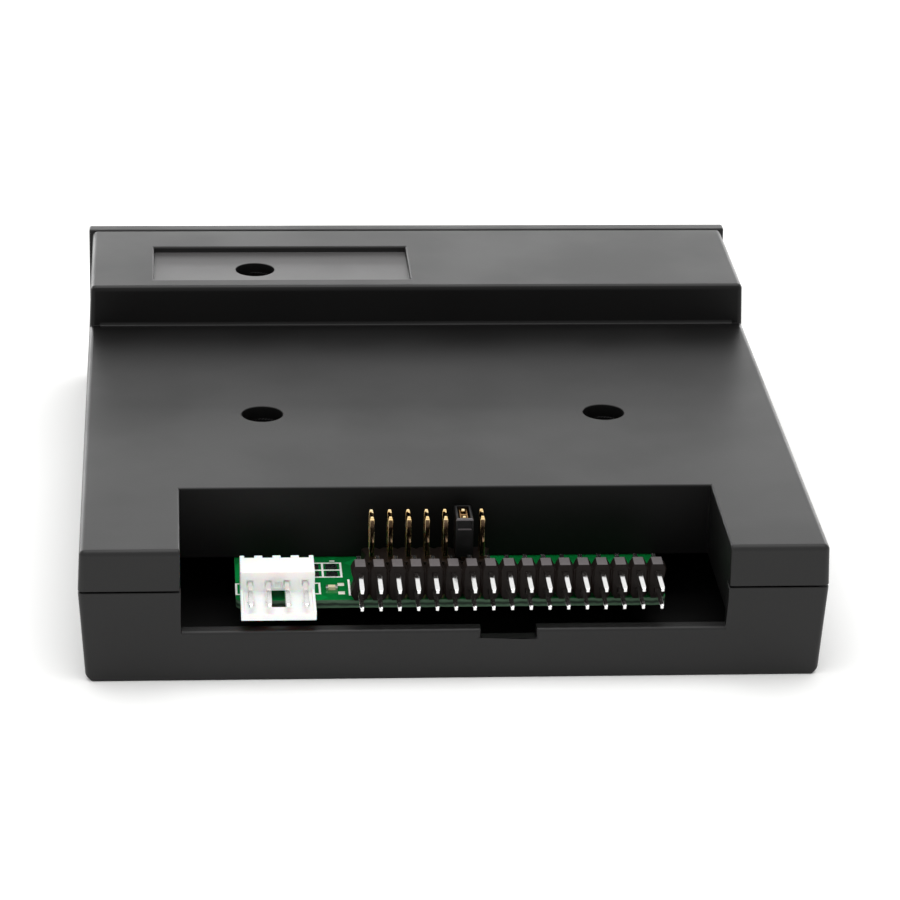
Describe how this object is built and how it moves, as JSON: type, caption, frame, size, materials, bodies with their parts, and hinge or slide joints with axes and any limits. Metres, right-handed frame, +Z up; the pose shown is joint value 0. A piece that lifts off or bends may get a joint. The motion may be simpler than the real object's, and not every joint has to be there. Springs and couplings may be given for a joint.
{
  "type": "floppy drive emulator",
  "caption": "Floppy drive emulator: stepped black drive case with a rear bay of header pins and a power socket, and a front with a digit display, push buttons and a memory-stick socket.",
  "frame": {"origin": "middle of the footprint, on the plane that the case stands on", "axes": "+Z up, -Y towards the front bezel, +Y towards the rear connector bay, +X to the right seen from the front"},
  "size_m": [0.1016, 0.116, 0.0254],
  "materials": {
    "case_plastic": "fine spark-eroded moulded texture",
    "window_acrylic": "polished, tinted",
    "button_plastic": "satin",
    "board_laminate": "solder mask",
    "header_plastic": "moulded",
    "socket_nylon": "moulded",
    "tinned_pins": "bright tin",
    "gold_pins": "thin gold plating",
    "zinc_screws": "zinc plated",
    "shunt_plastic": "moulded",
    "clip_bronze": "bare spring strip",
    "chip_epoxy": "moulded epoxy",
    "tinned_leads": "dull tin",
    "crystal_can": "drawn can",
    "capacitor_can": "drawn can",
    "capacitor_base": "moulded",
    "resistor_ceramic": "glazed",
    "capacitor_ceramic": "fired ceramic",
    "switch_plastic": "moulded",
    "switch_steel": "pressed sheet",
    "lamp_resin": "cast resin",
    "shell_steel": "nickel plated sheet",
    "tongue_plastic": "moulded",
    "display_case": "moulded",
    "display_resin": "diffusing resin"
  },
  "bodies": {
    "drive": {"top_cover": "case_plastic", "bay_walls": "case_plastic", "screw_wells": "case_plastic", "bottom_tray": "case_plastic", "front_bezel": "case_plastic", "display_window": "window_acrylic", "case_screws": "zinc_screws", "main_board": "board_laminate", "drive_header_body": "header_plastic", "drive_header_pins": "tinned_pins", "jumper_header_body": "header_plastic", "jumper_header_pins": "gold_pins", "power_socket_housing": "socket_nylon", "power_socket_pins": "tinned_pins", "microcontroller": "chip_epoxy", "microcontroller_leads": "tinned_leads", "logic_chips": "chip_epoxy", "logic_chip_leads": "tinned_leads", "voltage_regulator": "chip_epoxy", "regulator_leads": "tinned_leads", "crystal": "crystal_can", "electrolytic_capacitors": "capacitor_can", "capacitor_bases": "capacitor_base", "chip_resistors": "resistor_ceramic", "chip_capacitors": "capacitor_ceramic", "chip_end_caps": "tinned_leads", "switch_bodies": "switch_plastic", "switch_frames": "switch_steel", "switch_legs": "tinned_leads", "activity_lamp": "lamp_resin", "lamp_leads": "tinned_leads", "usb_shell": "shell_steel", "usb_tongue": "tongue_plastic", "usb_contacts": "gold_pins", "display_housing": "display_case", "display_segments": "display_resin", "display_board": "board_laminate", "display_link_pins": "tinned_pins"},
    "left_button": {"button_left": "button_plastic", "switch_plunger_left": "switch_plastic"},
    "right_button": {"button_right": "button_plastic", "switch_plunger_right": "switch_plastic"},
    "jumper_shunt": {"jumper_shunt_cap": "shunt_plastic", "jumper_shunt_clip": "clip_bronze"}
  },
  "joints": [
    {"name": "button_left_press", "type": "slide", "parent": "drive", "child": "left_button", "axis": [0, 1, 0], "range_m": [0, 0.00035], "stiffness_N_per_m": 1500, "springref_m": -0.0002},
    {"name": "button_right_press", "type": "slide", "parent": "drive", "child": "right_button", "axis": [0, 1, 0], "range_m": [0, 0.00035], "stiffness_N_per_m": 1500, "springref_m": -0.0002},
    {"name": "jumper_shunt_pull", "type": "slide", "parent": "drive", "child": "jumper_shunt", "axis": [0, 0, 1], "range_m": [0, 0.008]}
  ]
}
